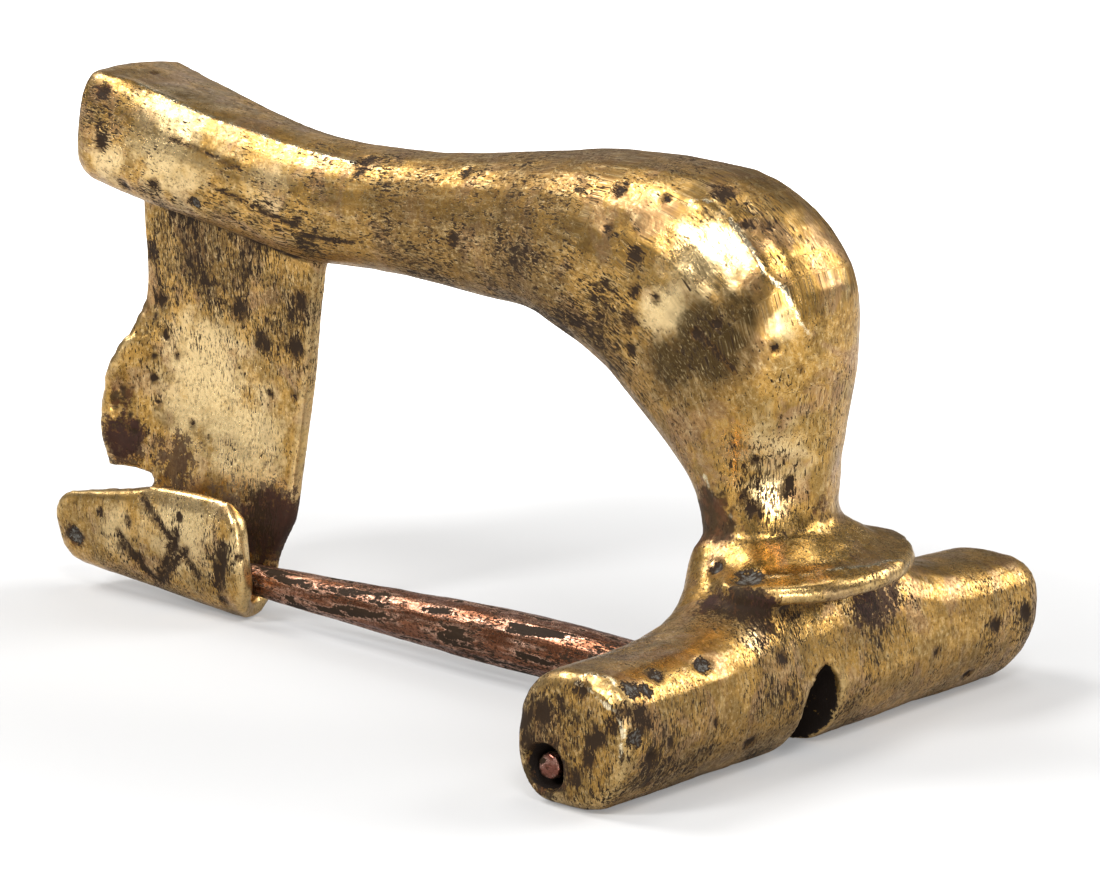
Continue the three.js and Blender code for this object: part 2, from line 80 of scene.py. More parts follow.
DARK_PITS = [  # open pits and dents full of dirt: across, down, radius, depth
    (653, 673, 0.3, 0.1), (782, 657, 0.3, 0.08), (583, 690, 0.28, 0.12), (718, 723, 0.18, 0.1),
    (748, 743, 0.18, 0.1), (673, 743, 0.18, 0.08), (652, 757, 0.3, 0.12), (968, 675, 0.3, 0.12),
    (996, 625, 0.3, 0.1), (939, 653, 0.25, 0.1), (1025, 611, 0.25, 0.1), (590, 740, 0.25, 0.04),
    (640, 712, 0.4, 0.04), (620, 190, 0.34, 0.08), (667, 199, 0.26, 0.06), (724, 190, 0.4, 0.06),
    (746, 224, 0.24, 0.08), (767, 226, 0.24, 0.08), (607, 230, 0.25, 0.05), (634, 254, 0.34, 0.06),
    (634, 291, 0.28, 0.08), (654, 297, 0.22, 0.08), (629, 320, 0.36, 0.06), (631, 350, 0.24, 0.05),
    (775, 348, 0.2, 0.1), (801, 370, 0.16, 0.06), (755, 463, 0.2, 0.06), (793, 483, 0.2, 0.05),
    (104, 92, 0.3, 0.08), (100, 142, 0.34, 0.1), (123, 185, 0.3, 0.08), (155, 185, 0.3, 0.06),
    (155, 73, 0.2, 0.05), (364, 161, 0.45, 0.08), (359, 172, 0.3, 0.06), (297, 222, 0.2, 0.05),
    (465, 172, 0.3, 0.07), (452, 240, 0.3, 0.05), (240, 310, 0.5, 0.06), (296, 350, 0.4, 0.07),
    (262, 340, 0.4, 0.06), (160, 300, 0.3, 0.06), (150, 250, 0.4, 0.05), (270, 394, 0.2, 0.06),
    (191, 423, 0.2, 0.06), (294, 396, 0.25, 0.05), (176, 356, 0.2, 0.05), (300, 300, 0.35, 0.05),
    (180, 517, 0.2, 0.05), (239, 558, 0.18, 0.08), (219, 570, 0.35, 0.06), (222, 600, 0.3, 0.06),
    (100, 512, 0.2, 0.05), (170, 548, 0.3, 0.06), (122, 545, 0.3, 0.06), (140, 560, 0.3, 0.06),
    (128, 522, 0.25, 0.05), (716, 324, 0.2, 0.16), (694, 334, 0.22, 0.14), (646, 722, 0.4, 0.05),
    (622, 712, 0.3, 0.05), (612, 728, 0.25, 0.05), (652, 758, 0.25, 0.05), (750, 742, 0.3, 0.05),
    (542, 714, 0.3, 0.06), (526, 740, 0.35, 0.06), (598, 738, 0.35, 0.05), (588, 760, 0.3, 0.05),
    (522, 720, 0.4, 0.05), (580, 690, 0.3, 0.08), (574, 778, 0.3, 0.05), (788, 494, 0.3, 0.05),
    (742, 500, 0.25, 0.06), (752, 510, 0.3, 0.06),
]
CUTS = [  # incised lines: width, depth, and their points across and down
    (0.17, 0.1, [(141, 497), (152, 514), (163, 530), (180, 552), (192, 566), (197, 576)]),
    (0.2, 0.1, [(176, 535), (172, 550), (163, 566), (160, 580)]),
    (0.16, 0.08, [(118, 531), (130, 550), (142, 566), (152, 576)]),
    (0.2, 0.08, [(186, 551), (175, 562), (163, 575)]),
    (0.2, 0.08, [(224, 548), (222, 560), (220, 574), (219, 587)]),
    (0.08, 0.04, [(210, 185), (250, 205), (294, 226)]),
    (0.08, 0.04, [(301, 235), (330, 240), (353, 243)]),
    (0.08, 0.04, [(168, 138), (200, 150), (240, 170)]),
    (0.09, 0.05, [(695, 330), (715, 350), (735, 372)]),
]
# Along these lines the colour is also painted pale: partly worn metal, partly a painted highlight.
ARRISES = [  # sharp edges left by the file and by wear: width, rise, and their points across and down
    (0.22, 0.07, [(692, 202), (710, 202), (735, 225), (750, 247), (765, 275), (785, 290), (800, 320),
                  (809, 335)]),
    (0.24, 0.07, [(118, 78), (142, 85), (168, 98), (192, 110), (215, 120), (260, 135), (298, 148),
                  (355, 162)]),
    (0.2, 0.05, [(576, 682), (590, 690), (602, 702), (616, 712), (622, 724), (622, 740), (620, 756)]),
    (0.2, 0.05, [(582, 676), (590, 674), (604, 676), (614, 680), (616, 688)]),
    (0.2, 0.05, [(768, 576), (800, 576), (830, 570), (870, 566), (900, 560)]),
    (0.2, 0.08, [(704, 476), (712, 492), (724, 508), (732, 518)]),
]
PURPLE_STAINS = [  # red-brown copper oxide in the hollows: across, down, radius
    (879, 603, 0.9), (862, 612, 0.7), (893, 590, 0.6), (714, 603, 0.7), (757, 607, 0.6), (124, 441, 1.2),
]

# These places are in mm instead, because they are wide and soft or run on out of sight.
STAINS_BEHIND_FLAP = [  # X, Y, Z, radius
    (-18.6, 0.0, 6.4, 1.3), (-15.0, 0.3, 3.2, 2.2), (-11.6, 0.2, 4.5, 1.6),
]
DENTS = [  # places worn or knocked flat: X, Y, Z, radius, depth
    (19.7, -2.0, 11.6, 1.5, 0.42), (16.6, -3.5, 19.0, 2.0, 0.15), (20.7, -1.8, 13.8, 1.3, 0.12),
    (-17.0, 0.4, 10.0, 3.0, 0.12), (22.5, -10.5, 3.5, 2.5, 0.1), (22.5, 7.0, 3.5, 3.0, 0.1),
    (4.0, -2.6, 20.5, 3.0, 0.12),
]

# Where the skin differs, or where light or shade is painted on it, as soft round zones: X, Y, Z, radius,
# amount.
FLECKED = [
    (0.0, -2.3, 18.8, 6.0, 0.4), (6.0, -3.0, 18.5, 5.5, 0.55), (11.0, -3.5, 17.2, 3.6, 0.7),
    (-6.0, -2.0, 19.3, 4.0, 0.3), (-16.0, 0.2, 17.4, 4.0, 0.85), (-10.5, 0.3, 14.0, 3.2, 0.7),
    (-19.5, 0.2, 14.0, 2.4, 0.5), (-12.5, 0.2, 5.2, 2.4, 0.6), (17.5, -14.5, 3.2, 4.4, 0.85),
    (22.3, -13.2, 3.8, 2.2, 0.5), (22.3, -12.0, 1.2, 3.6, 0.85), (22.3, -3.0, 0.8, 5.0, 0.6),
    (22.0, 12.5, 2.5, 4.5, 0.55), (15.5, 1.5, 23.5, 4.5, 0.5), (8.0, 0.5, 24.0, 6.0, 0.4),
    (19.5, -1.8, 11.4, 1.8, 0.75), (-20.2, -2.7, 23.0, 2.2, 0.5), (-9.0, -2.2, 18.9, 3.6, 0.5),
    (-12.0, -3.0, 3.0, 2.6, 0.5), (-17.0, -3.0, 2.2, 3.6, 0.45), (21.0, -5.0, 6.3, 2.4, 0.9),
    (22.8, 2.0, 5.6, 3.0, 0.7), (17.0, -3.6, 17.0, 2.4, 0.3), (18.0, 14.5, 3.0, 4.2, 0.6),
    (5.0, 3.0, 19.0, 5.0, 0.5), (15.0, 3.6, 17.0, 3.5, 0.5), (-8.0, 2.2, 20.0, 4.0, 0.4),
    (15.3, -8.0, 2.0, 5.0, 0.5),
]
# Tarnish zones: dull brown tarnish, and on the knee, where the amount passes 1, a painted dark reflection.
TARNISH_AND_DARK_REFLECTION = [
    (0.0, -2.0, 20.0, 7.0, 0.7), (7.0, -2.5, 19.5, 6.0, 0.75), (17.6, -3.6, 17.2, 2.7, 1.35),
    (15.8, -3.7, 16.2, 2.2, 1.15), (19.0, -3.1, 18.6, 1.8, 1.1), (-16.0, 0.2, 18.0, 4.5, 0.75),
    (-10.5, 0.3, 15.0, 3.0, 0.6), (8.0, 0.5, 24.2, 9.0, 0.8), (15.5, 1.5, 23.5, 5.0, 0.7),
    (22.5, 10.0, 4.0, 6.0, 0.3), (22.0, -8.0, 1.0, 7.0, 0.5), (18.5, -14.5, 3.0, 4.6, 0.55),
    (12.0, -3.4, 16.5, 3.5, 0.5), (22.0, 2.0, 6.0, 2.5, 0.7), (20.0, -5.5, 6.5, 2.2, 0.7),
]
# Pale zones: worn bare metal, and painted highlights and reflections on the knee, the neck, the foot's side
# and the flap of the catch.
PALE_WEAR_AND_HIGHLIGHT = [
    (-16.8, 0.4, 10.8, 3.6, 1.0), (-14.0, 0.4, 8.0, 3.4, 0.85), (-16.5, 0.2, 6.8, 1.8, 0.5),
    (-15.5, -2.6, 22.4, 3.2, 0.75), (-19.6, -2.9, 21.4, 1.5, 0.8), (-10.0, -2.4, 21.0, 3.0, 0.5),
    (17.0, -3.3, 20.8, 2.0, 0.8), (15.4, -3.8, 18.4, 1.5, 0.8), (19.5, -2.0, 10.9, 1.5, 0.7),
    (-15.0, -3.1, 4.6, 3.4, 0.8), (-11.2, -3.0, 3.6, 1.3, 0.8), (-19.5, -3.1, 3.6, 2.0, 0.7),
    (-16.0, 2.6, 22.0, 3.0, 0.5), (17.5, 3.4, 20.0, 2.0, 0.5), (21.7, -5.6, 5.9, 0.8, 0.7),
    (20.5, -2.2, 18.1, 0.9, 0.7), (-17.0, -1.8, 24.5, 2.0, 0.5), (19.8, -1.8, 12.4, 2.4, 0.6),
]
POLISHED = [
    (17.3, -3.3, 18.8, 4.4, 1.0), (19.3, -2.0, 12.0, 3.6, 0.9), (21.0, -2.0, 8.2, 3.2, 1.0),
    (18.9, -10.6, 5.8, 3.2, 0.9), (-17.0, -2.0, 24.0, 3.4, 0.5), (-14.0, -3.1, 4.0, 4.0, 0.4),
    (-16.0, 0.4, 9.5, 4.0, 0.4),
]
# Grime zones: real dirt round the bores, on the foot's end and on the flap's tip, and painted shade in the
# creases by the neck and collar, under the collar and the crossbar, and behind the flap.
GRIME_AND_PAINTED_SHADE = [
    (17.0, -2.65, 9.7, 1.3, 1.3), (16.4, -2.4, 9.2, 1.3, 1.2), (17.8, -2.7, 9.3, 0.9, 1.0),
    (21.3, -4.6, 6.9, 0.9, 1.0), (20.6, -5.1, 7.1, 0.9, 1.1), (19.2, -5.5, 6.7, 0.9, 0.8),
    (21.7, -4.5, 6.0, 0.6, 0.7), (-12.1, 0.1, 4.2, 2.2, 1.2), (-9.8, 0.0, 5.0, 1.5, 1.0),
    (-21.8, -0.3, 7.5, 1.2, 1.1), (-21.9, -0.4, 9.3, 0.8, 0.8), (18.1, -14.5, 1.55, 1.6, 1.05),
    (-22.7, -2.9, 2.7, 0.8, 1.0), (22.0, 2.0, 5.8, 1.0, 0.8), (20.6, 0.3, 9.9, 0.8, 0.7),
    (-20.0, -2.7, 24.6, 0.6, 0.75), (-19.9, -2.9, 22.3, 0.5, 0.7), (22.0, -12.5, 1.3, 0.9, 0.7),
    (22.56, -13.8, 3.9, 0.6, 0.6), (-15.5, 0.2, 3.6, 2.0, 0.9), (22.6, -2.5, 6.7, 1.0, 0.7),
    (18.1, 14.5, 1.55, 1.6, 1.0), (16.2, 2.4, 9.2, 1.2, 0.9), (14.9, 0.3, 9.3, 1.0, 0.9),
    (20.2, 5.2, 6.5, 0.9, 0.8), (-12.5, 0.3, 18.4, 1.2, 0.7), (14.9, 1.8, 1.2, 0.9, 0.8),
    (14.9, -4.6, 1.0, 0.9, 0.7),
]


def bare_copy(node_name, name):
    """A copy of a CAD node's mesh, in one piece, as the only selected object."""
    bpy.ops.object.select_all(action="DESELECT")
    piece = bpy.data.objects.new(name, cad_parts[node_name].data.copy())
    bpy.context.scene.collection.objects.link(piece)
    piece.select_set(True)
    bpy.context.view_layer.objects.active = piece
    piece.data.materials.clear()
    bpy.ops.object.mode_set(mode="EDIT")
    bpy.ops.mesh.select_all(action="SELECT")
    bpy.ops.mesh.remove_doubles(threshold=0.001 * MM)
    bpy.ops.object.mode_set(mode="OBJECT")
    return piece


towards_camera = Vector((math.sin(CAMERA_AZIMUTH) * math.cos(CAMERA_ELEVATION),
                         -math.cos(CAMERA_AZIMUTH) * math.cos(CAMERA_ELEVATION), math.sin(CAMERA_ELEVATION)))
camera_place = CAMERA_TARGET + towards_camera * CAMERA_DISTANCE
camera_turn = (-towards_camera).to_track_quat("-Z", "Y").to_matrix() @ Matrix.Rotation(CAMERA_ROLL, 3, "Z")
cast_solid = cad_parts["bow_casting"].data
cast_faces = BVHTree.FromPolygons([vertex.co for vertex in cast_solid.vertices],
                                  [face.vertices for face in cast_solid.polygons])
photo_focus = PHOTO_WIDTH * CAMERA_LENS / SENSOR_WIDTH


def seen_place(across, down):
    """The place on the casting, in mm, that the photo shows at a pixel."""
    sight = camera_turn @ Vector((across - PHOTO_WIDTH / 2, PHOTO_HEIGHT / 2 - down, -photo_focus))
    return np.array(cast_faces.ray_cast(camera_place, sight.normalized())[0]) / MM


def even_skin(piece, spacing, softening):
    """Gives the active piece an even skin of small faces and rounds its edges a little."""
    remesh = piece.modifiers.new("even skin", "REMESH")
    remesh.mode = "VOXEL"
    remesh.voxel_size = spacing
    remesh.use_smooth_shade = True
    bpy.ops.object.modifier_apply(modifier=remesh.name)
    soften = piece.modifiers.new("worn edges", "SMOOTH")
    soften.factor = 0.5
    soften.iterations = softening
    bpy.ops.object.modifier_apply(modifier=soften.name)


def points_and_normals(piece):
    """Its points in mm, their normals and the pairs that its edges join."""
    mesh = piece.data
    points = np.empty(len(mesh.vertices) * 3)
    mesh.vertices.foreach_get("co", points)
    normals = np.empty(len(mesh.vertices) * 3)
    mesh.vertex_normals.foreach_get("vector", normals)
    edges = np.empty(len(mesh.edges) * 2, int)
    mesh.edges.foreach_get("vertices", edges)
    return points.reshape(-1, 3) / MM, normals.reshape(-1, 3), edges.reshape(-1, 2)


def spread(values, edges, times):
    """Averages values over neighbouring points, some number of times."""
    out = np.array(values, float).reshape(len(values), -1)
    count = np.bincount(edges.ravel(), minlength=len(out))[:, None]
    for _ in range(times):
        total = np.empty_like(out)
        for k in range(out.shape[1]):
            total[:, k] = (np.bincount(edges[:, 0], out[edges[:, 1], k], len(out))
                           + np.bincount(edges[:, 1], out[edges[:, 0], k], len(out)))
        out = (out + total / count) / 2
    return out.reshape(np.shape(values))


def hollowness(points, normals, edges, times):
    """How far each point lies in a hollow, in mm. It is negative on an edge or a crown."""
    return ((spread(points, edges, times) - points) * normals).sum(1)


def waves(points, scale, seed, depth=0):
    """Smooth seeded noise at each point, from -1 to 1, with bumps about scale mm across."""
    shift = Vector((seed * 17.3, seed * 5.1, seed * 9.7))
    return np.array([noise.fractal(Vector(p) / scale + shift, 1.0, 2.0, depth) if depth
                     else noise.noise(Vector(p) / scale + shift) for p in points])


def near_line(points, line):
    """Distance from each point to a line on the casting, drawn through pixels of the photo."""
    best = np.full(len(points), 1e9)
    corners = [seen_place(*pixel) for pixel in line]
    for a, b in zip(corners[:-1], corners[1:]):
        share = np.clip((points - a) @ (b - a) / ((b - a) @ (b - a)), 0, 1)[:, None]
        best = np.minimum(best, np.linalg.norm(points - a - share * (b - a), axis=1))
    return best


def keep_inside(points, lo, hi):
    return np.clip(points, np.array(lo) / MM, np.array(hi) / MM)


def set_points(piece, points):
    piece.data.vertices.foreach_set("co", (points * MM).ravel())
    piece.data.update()


def set_values(piece, name, values):
    """Keeps a number or a vector for each point of a piece, which its material reads."""
    kind = "FLOAT_VECTOR" if np.ndim(values) == 2 else "FLOAT"
    attribute = piece.data.attributes.new(name, kind, "POINT")
    attribute.data.foreach_set("vector" if np.ndim(values) == 2 else "value", np.float32(values).ravel())


casting = bare_copy("bow_casting", "brooch_casting")
even_skin(casting, CAST_GRAIN, CAST_SOFTENING)
skin, skin_normals, skin_edges = points_and_normals(casting)

# The neck runs into the collar and the crossbar in hollow curves, without a line.
NECK_X = 17.7
SHOULDER_Z = 9.4
SADDLE_Z = 6.3
soft = spread(skin, skin_edges, 60)
from_neck = np.hypot(skin[:, 0] - NECK_X, skin[:, 1])
on_shoulder = np.clip(1 - np.abs(skin[:, 2] - SHOULDER_Z) / 1.2, 0, 1) * np.clip(4.6 - from_neck, 0, 1)
on_saddle = np.clip(1 - np.abs(skin[:, 2] - SADDLE_Z) / 1.5, 0, 1)
on_saddle *= np.clip((6.5 - np.abs(skin[:, 1])) / 1.5, 0, 1)
share = np.maximum(0.9 * on_shoulder, 0.5 * on_saddle)[:, None] * (skin[:, :1] > 12)
share = spread(share, skin_edges, 6)
skin = skin + share * (soft - skin)
set_points(casting, skin)
skin, skin_normals, skin_edges = points_and_normals(casting)

# Along the bow the grain follows its middle line. On the crossbar and the catch it runs up and down.
BAR_TOP_Z = 6.2
BAR_MIDDLE_X = 18
BAR_SIDE_X = 12
CATCH_SIDE_X = -5
bow_top = np.array(BOW_TOP)
bow_under = np.array(BOW_UNDER)
bow_middle = (bow_top + bow_under) / 2
bow_half = np.linalg.norm(bow_top - bow_under, axis=1) / 2
steps = np.linalg.norm(np.diff(bow_middle, axis=0), axis=1)
run = np.concatenate([[0], np.cumsum(steps)])
nearest = np.full(len(skin), 1e9)
along = np.zeros(len(skin))
outward = np.zeros(len(skin))
bow_depth = np.zeros(len(skin))
flat = skin[:, [0, 2]]
for i in range(len(steps)):
    a, b = bow_middle[i], bow_middle[i + 1]
    way = (b - a) / steps[i]
    share = np.clip((flat - a) @ way / steps[i], -0.05 if i else -3, 1.05)
    middle_point = a + share[:, None] * (b - a)
    away = np.linalg.norm(flat - middle_point, axis=1)
    closer = away < nearest
    nearest[closer] = away[closer]
    along[closer] = (run[i] + share * steps[i])[closer]
    outward[closer] = ((flat - middle_point) @ np.array([-way[1], way[0]]))[closer]
    bow_depth[closer] = (bow_half[i] + np.clip(share, 0, 1) * (bow_half[i + 1] - bow_half[i]))[closer]
grain = np.stack([along, skin[:, 1], outward], axis=1)
on_catch = (skin[:, 0] < CATCH_SIDE_X) & (nearest > bow_depth - 0.15) & (outward < 0)
upright = np.stack([-skin[:, 2], skin[:, 1], skin[:, 0]], axis=1)
grain[on_catch] = upright[on_catch]
on_bar = (skin[:, 0] > BAR_SIDE_X) & (skin[:, 2] < BAR_TOP_Z)
grain[on_bar] = upright[on_bar] + np.array([run[-3] + BAR_TOP_Z, 0, -BAR_MIDDLE_X])


def soft_zones(points, zones):
    """The largest of some soft round zones at each point."""
    out = np.zeros(len(points))
    for x, y, z, radius, amount in zones:
        away = np.linalg.norm(points - np.array([x, y, z]), axis=1) / radius
        out = np.maximum(out, amount * np.exp(-np.minimum(away, 4) ** 2))
    return out


# Dents of the hammer, file waves and the marks of corrosion. The outer edge of the catch is torn and rough.
TORN_EDGE_X = -19.2
TORN_LOW_Z, TORN_HIGH_Z = 5.5, 14.5
hollow = hollowness(skin, skin_normals, skin_edges, 60)
sink = 0.06 * waves(skin, 3.1, 1) + 0.03 * waves(skin, 1.3, 2)
sink += 0.02 * waves(grain / np.array([4.0, 1.0, 1.0]), 0.5, 3)
rough = np.clip(waves(skin, 4.0, 4) + 0.3, 0, 1)
sink += 0.03 * rough * waves(skin, 0.5, 5)
torn = on_catch & (skin[:, 0] < TORN_EDGE_X) & (skin[:, 2] > TORN_LOW_Z) & (skin[:, 2] < TORN_HIGH_Z)
sink += np.where(torn, 0.12 * waves(skin, 0.8, 6, 2), 0)
sink = np.where(sink > 0, sink, sink * 0.5)
pit_edge = np.full(len(skin), -1.0)
fill_edge = np.full(len(skin), -1.0)
for across, down, radius, depth in DARK_PITS + FILLED_PITS:
    away = np.linalg.norm(skin - seen_place(across, down), axis=1) / radius
    sink += depth * np.exp(-np.minimum(away, 4) ** 4)
for x, y, z, radius, depth in DENTS:
    away = np.linalg.norm(skin - np.array([x, y, z]), axis=1) / radius
    sink += depth * np.exp(-np.minimum(away, 4) ** 2)
for across, down, radius, _ in DARK_PITS:
    away = np.linalg.norm(skin - seen_place(across, down), axis=1) / radius
    pit_edge = np.maximum(pit_edge, 1 - away)
for across, down, radius, _ in FILLED_PITS:
    away = np.linalg.norm(skin - seen_place(across, down), axis=1) / radius
    fill_edge = np.maximum(fill_edge, 1 - away)
for width, depth, line in CUTS:
    away = near_line(skin, line) / width
    sink += depth * np.exp(-np.minimum(away, 4) ** 2)
    pit_edge = np.maximum(pit_edge, 0.9 - 0.8 * away)
for width, rise, line in ARRISES:
    away = near_line(skin, line) / width
    sink -= rise * np.exp(-np.minimum(away, 4) ** 2)
skin = keep_inside(skin - skin_normals * sink[:, None], *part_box("bow_casting"))
set_points(casting, skin)

stain_edge = np.full(len(skin), -1.0)
stains = [(*seen_place(across, down), radius) for across, down, radius in PURPLE_STAINS]
for x, y, z, radius in stains + STAINS_BEHIND_FLAP:
    stain_edge = np.maximum(stain_edge, 1 - np.linalg.norm(skin - np.array([x, y, z]), axis=1) / radius)
skin, skin_normals, skin_edges = points_and_normals(casting)
set_values(casting, "grain", grain)
set_values(casting, "wide_hollow", np.clip(hollow, -0.6, 0.6))
set_values(casting, "small_hollow", np.clip(hollowness(skin, skin_normals, skin_edges, 10), -0.2, 0.2))
set_values(casting, "pit_edge", pit_edge)
set_values(casting, "fill_edge", fill_edge)
set_values(casting, "stain_edge", stain_edge)
skin_zones = {"flecked": FLECKED, "tarnish_and_reflection": TARNISH_AND_DARK_REFLECTION, "pale": PALE_WEAR_AND_HIGHLIGHT, "polished": POLISHED, "grime_and_shade": GRIME_AND_PAINTED_SHADE}
for zones_name, zones in skin_zones.items():
    set_values(casting, zones_name, soft_zones(skin, zones))
arris_edge = np.full(len(skin), -1.0)
for _, _, line in ARRISES:
    arris_edge = np.maximum(arris_edge, 1 - near_line(skin, line) / 0.5)
set_values(casting, "arris_edge", arris_edge)

# The slot and the bore are painted black inside: painted shade.
SLOT_MIDDLE_Y = -1.7
SLOT_HALF_WIDTH = 1.3
SLOT_INNER_X = 14.0
SLOT_OUTER_X = 22.15
SLOT_ROOF_Z = 3.9
HINGE_X = 18.1
HINGE_Z = 1.55
BORE_RADIUS = 0.98
BORE_END_Y = 14.3
INSIDE_BLUR = 0.3
slot_side = SLOT_HALF_WIDTH - np.abs(skin[:, 1] - SLOT_MIDDLE_Y)
slot_end = np.minimum(SLOT_OUTER_X - skin[:, 0], skin[:, 0] - SLOT_INNER_X)
slot_end = np.minimum(slot_end, SLOT_ROOF_Z - skin[:, 2])
bore_side = BORE_RADIUS - np.hypot(skin[:, 0] - HINGE_X, skin[:, 2] - HINGE_Z)
bore_end = BORE_END_Y - np.abs(skin[:, 1])
inside = np.maximum(np.minimum(slot_side, slot_end), np.minimum(bore_side, bore_end)) / INSIDE_BLUR
set_values(casting, "inside_edge", np.clip(inside, -1, 1))


class Wiring:
    """Adds nodes to a tree and joins them."""

    def __init__(self, tree):
        self.tree = tree

    def node(self, kind, settings=None, **inputs):
        made = self.tree.nodes.new(kind)
        for key, value in (settings or {}).items():
            setattr(made, key, value)
        for key, value in inputs.items():
            self.feed(made, key.replace("_", " "), value)
        return made

    def feed(self, made, key, value):
        by_number = key.startswith("in") and key[2:].isdigit()
        socket = made.inputs[int(key[2:])] if by_number else made.inputs[key]
        if isinstance(value, bpy.types.NodeSocket):
            self.tree.links.new(value, socket)
        else:
            socket.default_value = value

    def math(self, operation, a, b=0.0):
        made = self.node("ShaderNodeMath", {"operation": operation}, in0=a, in1=b)
        return made.outputs[0]

    def ramp(self, value, low, high, to_low=0.0, to_high=1.0):
        made = self.node("ShaderNodeMapRange", {"interpolation_type": "SMOOTHSTEP"}, Value=value)
        for key, number in (("From Min", low), ("From Max", high), ("To Min", to_low), ("To Max", to_high)):
            self.feed(made, key, number)
        return made.outputs[0]

    def scaled(self, vector, scale):
        made = self.node("ShaderNodeVectorMath", {"operation": "MULTIPLY"}, in0=vector, in1=scale)
        return made.outputs[0]

    def noise(self, vector, scale, detail=2.0, rough=0.5, distortion=0.0):
        made = self.node("ShaderNodeTexNoise", None, Vector=vector, Scale=scale, Detail=detail,
                         Roughness=rough, Distortion=distortion)
        return made.outputs["Fac"]

    def mix(self, share, a, b):
        made = self.node("ShaderNodeMix", {"data_type": "RGBA"})
        self.feed(made, "in0", share)
        self.feed(made, "in6", a)
        self.feed(made, "in7", b)
        return made.outputs[2]

    def blend(self, share, a, b):
        made = self.node("ShaderNodeMix", {"data_type": "FLOAT"})
        self.feed(made, "in0", share)
        self.feed(made, "in2", a)
        self.feed(made, "in3", b)
        return made.outputs[0]

    def kept(self, name, vector=False):
        made = self.node("ShaderNodeAttribute", {"attribute_name": name})
        return made.outputs["Vector" if vector else "Fac"]

    def placed(self, group, **inputs):
        made = self.node("ShaderNodeGroup", {"node_tree": group}, **inputs)
        return made.outputs


def new_group(name, inputs, outputs):
    """A shader node group with named number, vector and colour sockets."""
    group = bpy.data.node_groups.new(name, "ShaderNodeTree")
    for socket_name, kind in inputs:
        group.interface.new_socket(socket_name, in_out="INPUT", socket_type=kind)
    for socket_name, kind in outputs:
        group.interface.new_socket(socket_name, in_out="OUTPUT", socket_type=kind)
    wires = Wiring(group)
    return group, wires, wires.node("NodeGroupInput").outputs, wires.node("NodeGroupOutput")


def make_fleck_group():
    """Short dark corrosion flecks that lie along the grain, thicker in some patches than in others."""
    group, w, given, out = new_group(
        "corrosion flecks",
        [("Grain", "NodeSocketVector"), ("Density", "NodeSocketFloat"), ("Length", "NodeSocketFloat")],
        [("Flecks", "NodeSocketFloat")],
    )
    squeeze = w.node("ShaderNodeCombineXYZ", None, X=w.math("DIVIDE", 1.0, given["Length"]), Y=1.0, Z=1.0)
    lengthwise = w.scaled(given["Grain"], squeeze.outputs[0])
    small = w.noise(lengthwise, 12.0, 2.0, 0.6, 0.2)
    large = w.noise(lengthwise, 5.0, 4.0, 0.7, 0.4)
    patches = w.noise(given["Grain"], 0.42, 3.0, 0.55)
    pull = w.math("MULTIPLY", w.math("SUBTRACT", patches, 0.5), 0.5)
    density = w.math("ADD", w.math("MULTIPLY", w.math("SUBTRACT", given["Density"], 0.5), 0.3), pull)
    few = w.ramp(w.math("ADD", small, density), 0.6, 0.635)
    big = w.ramp(w.math("ADD", large, density), 0.645, 0.71)
    uneven = w.ramp(w.noise(given["Grain"], 2.3, 2.0, 0.5), 0.35, 0.6, 0.65, 1.0)
    w.feed(out, "Flecks", w.math("MAXIMUM", w.math("MULTIPLY", few, uneven), big))
    return group


def make_spot_group():
    """Turns a kept soft edge into a crisp ragged spot."""
    group, w, given, out = new_group(
        "ragged spot",
        [("Edge", "NodeSocketFloat"), ("Place", "NodeSocketVector"), ("Ragged", "NodeSocketFloat")],
        [("Spot", "NodeSocketFloat")],
    )
    coarse = w.math("SUBTRACT", w.noise(given["Place"], 2.2, 2.0, 0.5), 0.5)
    fine = w.math("SUBTRACT", w.noise(given["Place"], 8.0, 3.0, 0.6), 0.5)
    wobble = w.math("MULTIPLY", w.math("ADD", coarse, fine), given["Ragged"])
    w.feed(out, "Spot", w.ramp(w.math("ADD", given["Edge"], wobble), -0.06, 0.12))
    return group


def make_grain_group():
    """Height of the fine texture of worn cast metal: brushed lines along the grain and a sandy tooth."""
    group, w, given, out = new_group(
        "fine tooth",
        [("Grain", "NodeSocketVector"), ("Place", "NodeSocketVector"), ("Brushed", "NodeSocketFloat")],
        [("Height", "NodeSocketFloat"), ("Speckle", "NodeSocketFloat")],
    )
    brushed = w.noise(w.scaled(given["Grain"], (0.16, 1.0, 1.0)), 11.0, 2.0, 0.5)
    sandy = w.noise(given["Place"], 7.0, 4.0, 0.65)
    low = w.noise(given["Place"], 1.3, 2.0, 0.5)
    lines = w.math("MULTIPLY", brushed, given["Brushed"])
    height = w.math("ADD", w.math("ADD", w.math("MULTIPLY", sandy, 0.5), lines), w.math("MULTIPLY", low, 1.5))
    w.feed(out, "Height", height)
    w.feed(out, "Speckle", w.noise(w.scaled(given["Grain"], (0.8, 1.0, 1.0)), 5.5, 4.0, 0.75))
    return group


corrosion_flecks = make_fleck_group()
ragged_spot = make_spot_group()
fine_tooth = make_grain_group()

GOLD = (0.55, 0.315, 0.08, 1)
PALE_GOLD = (0.92, 0.69, 0.35, 1)
OLIVE = (0.35, 0.21, 0.06, 1)
ROSE = (0.42, 0.25, 0.135, 1)
UMBER = (0.165, 0.098, 0.036, 1)
# Smoky brown: deep tarnish, and the painted dark reflection on the knee.
SMOKY_TARNISH_AND_REFLECTION = (0.06, 0.038, 0.015, 1)
BROWN = (0.12, 0.055, 0.018, 1)
# Rust and dirt browns, also used for the painted shade in hollows and creases.
RUST_AND_SHADE = (0.07, 0.026, 0.011, 1)
DARK_DIRT_AND_SHADE = (0.024, 0.013, 0.006, 1)
